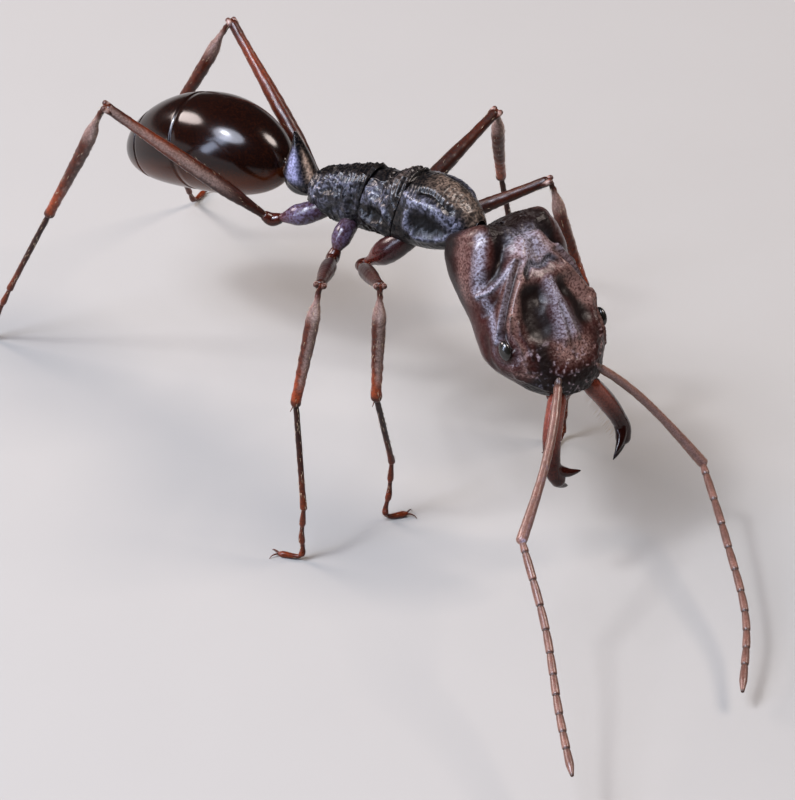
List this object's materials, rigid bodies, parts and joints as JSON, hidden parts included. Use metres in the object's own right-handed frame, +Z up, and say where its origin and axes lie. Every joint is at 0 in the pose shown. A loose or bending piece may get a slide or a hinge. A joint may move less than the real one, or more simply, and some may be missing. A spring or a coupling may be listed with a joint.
{
  "type": "trap-jaw ant",
  "caption": "Life-size still model of a trap-jaw ant worker standing with its head hung down, jaws half open and feelers reaching forward.",
  "frame": {"origin": "on the floor, under the middle of the ant's box from toes to feeler tips", "axes": "+Z up, -Y the way the ant faces, +X to the ant's left"},
  "size_m": [0.011, 0.016, 0.0063],
  "materials": {
    "head_plate": "dark red-brown cuticle, finely striate, silky",
    "trunk_plate": "black cuticle, fine cross striae, grey sheen",
    "gaster_plate": "black-brown cuticle, smooth and glossy",
    "jaw": "dark red-brown cuticle, glossy, black teeth",
    "eye": "dark faceted eye, glossy",
    "coxa": "dark red-brown cuticle, glossy",
    "leg": "brown cuticle under fine pale down",
    "foot": "olive-brown cuticle, bristly",
    "feeler": "pinkish tan cuticle, downy, darker rings at the joints"
  },
  "bodies": {
    "root": {"head_capsule": "head_plate", "eye_left": "eye", "eye_right": "eye", "mandible_left": "jaw", "mandible_right": "jaw", "pronotum": "trunk_plate", "mesothorax": "trunk_plate", "propodeum": "trunk_plate", "petiole": "trunk_plate", "gaster_tergite_1": "gaster_plate", "gaster_tergite_2": "gaster_plate", "gaster_tip": "gaster_plate", "coxa_fore_left": "coxa", "femur_fore_left": "leg", "tibia_fore_left": "leg", "basitarsus_fore_left": "foot", "tarsus_fore_left": "foot", "coxa_fore_right": "coxa", "femur_fore_right": "leg", "tibia_fore_right": "leg", "basitarsus_fore_right": "foot", "tarsus_fore_right": "foot", "coxa_mid_left": "coxa", "femur_mid_left": "leg", "tibia_mid_left": "leg", "basitarsus_mid_left": "foot", "tarsus_mid_left": "foot", "coxa_mid_right": "coxa", "femur_mid_right": "leg", "tibia_mid_right": "leg", "basitarsus_mid_right": "foot", "tarsus_mid_right": "foot", "coxa_hind_left": "coxa", "femur_hind_left": "leg", "tibia_hind_left": "leg", "basitarsus_hind_left": "foot", "tarsus_hind_left": "foot", "coxa_hind_right": "coxa", "femur_hind_right": "leg", "tibia_hind_right": "leg", "basitarsus_hind_right": "foot", "tarsus_hind_right": "foot", "scape_left": "feeler", "funiculus_base_left": "feeler", "funiculus_middle_left": "feeler", "funiculus_tip_left": "feeler", "scape_right": "feeler", "funiculus_base_right": "feeler", "funiculus_middle_right": "feeler", "funiculus_tip_right": "feeler"}
  },
  "joints": []
}
